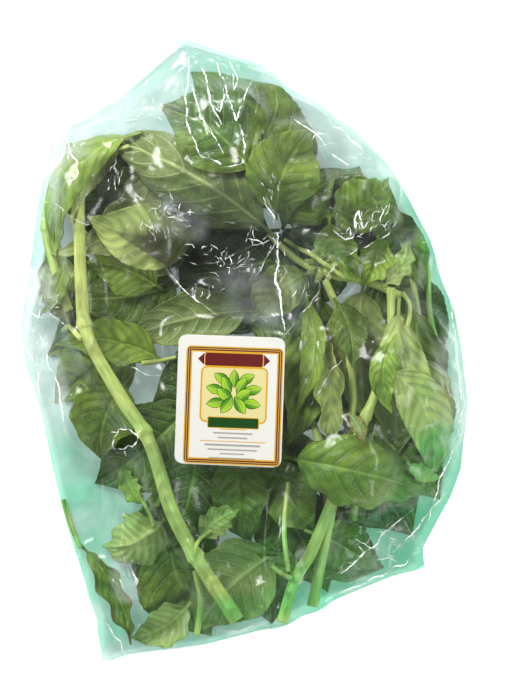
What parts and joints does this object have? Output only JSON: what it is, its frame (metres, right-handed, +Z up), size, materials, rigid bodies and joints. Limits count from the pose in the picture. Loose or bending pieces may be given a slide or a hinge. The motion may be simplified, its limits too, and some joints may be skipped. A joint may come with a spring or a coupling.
{
  "type": "basil bunch",
  "caption": "Bunch of fresh cut basil sprigs lying in a thin green-tinted film bag with a folded-over mouth and a plain paper label.",
  "frame": {"origin": "centre of the footprint of the lying bunch, on the surface that it rests on", "axes": "+Z up from the resting surface, +Y from the cut stem ends towards the folded mouth of the bag, +X to the right seen from above"},
  "size_m": [0.2212, 0.3098, 0.0423],
  "materials": {
    "leaf_dark": "satin dark green leaf, upper side",
    "leaf_mid": "satin mid green leaf",
    "leaf_pale": "matt pale green leaf, underside",
    "stem": "smooth pale green stem, slightly ribbed",
    "film": "thin clear mint green film, crinkled and glossy",
    "label_card": "coated white paper sticker with plain coloured bands"
  },
  "bodies": {
    "root": {"bag": "film", "centre_stem": "stem", "inner_stem": "stem", "label": "label_card", "leaf_back_bottom": "leaf_dark", "leaf_back_bottom_right": "leaf_dark", "leaf_back_centre": "leaf_dark", "leaf_back_left": "leaf_dark", "leaf_back_lower_left": "leaf_dark", "leaf_back_lower_right": "leaf_dark", "leaf_back_middle": "leaf_dark", "leaf_back_right": "leaf_dark", "leaf_back_top": "leaf_dark", "leaf_back_top_left": "leaf_dark", "leaf_back_upper_right": "leaf_dark", "leaf_behind_label": "leaf_dark", "leaf_below_label": "leaf_dark", "leaf_below_label_right": "leaf_mid", "leaf_bottom_centre": "leaf_pale", "leaf_bottom_left_pale": "leaf_pale", "leaf_bottom_left_wilted": "leaf_mid", "leaf_bottom_right": "leaf_mid", "leaf_bud_left": "leaf_mid", "leaf_bud_right": "leaf_mid", "leaf_centre_dark": "leaf_dark", "leaf_centre_pale": "leaf_pale", "leaf_centre_right": "leaf_mid", "leaf_left_edge": "leaf_pale", "leaf_left_middle_pale": "leaf_pale", "leaf_left_of_label": "leaf_mid", "leaf_left_small": "leaf_mid", "leaf_left_veined": "leaf_pale", "leaf_lower_left_cupped": "leaf_pale", "leaf_lower_left_large": "leaf_mid", "leaf_lower_right_large": "leaf_mid", "leaf_narrow_folded": "leaf_pale", "leaf_right_bright": "leaf_mid", "leaf_right_crumpled": "leaf_pale", "leaf_right_curled": "leaf_pale", "leaf_right_drooping": "leaf_pale", "leaf_right_middle": "leaf_mid", "leaf_right_pale": "leaf_pale", "leaf_small_pale": "leaf_pale", "leaf_top_large_dark": "leaf_dark", "leaf_top_left_curled": "leaf_pale", "leaf_top_pale_long": "leaf_pale", "leaf_top_right_round": "leaf_dark", "leaf_upper_right_far": "leaf_mid", "left_side_stem": "stem", "long_petiole": "stem", "lower_stem_middle": "stem", "lower_stem_right": "stem", "lower_stem_short": "stem", "lower_twig": "stem", "main_stem": "stem", "right_main_stem": "stem", "right_twig_inner": "stem", "right_twig_outer": "stem", "upper_cross_stem": "stem"}
  },
  "joints": []
}
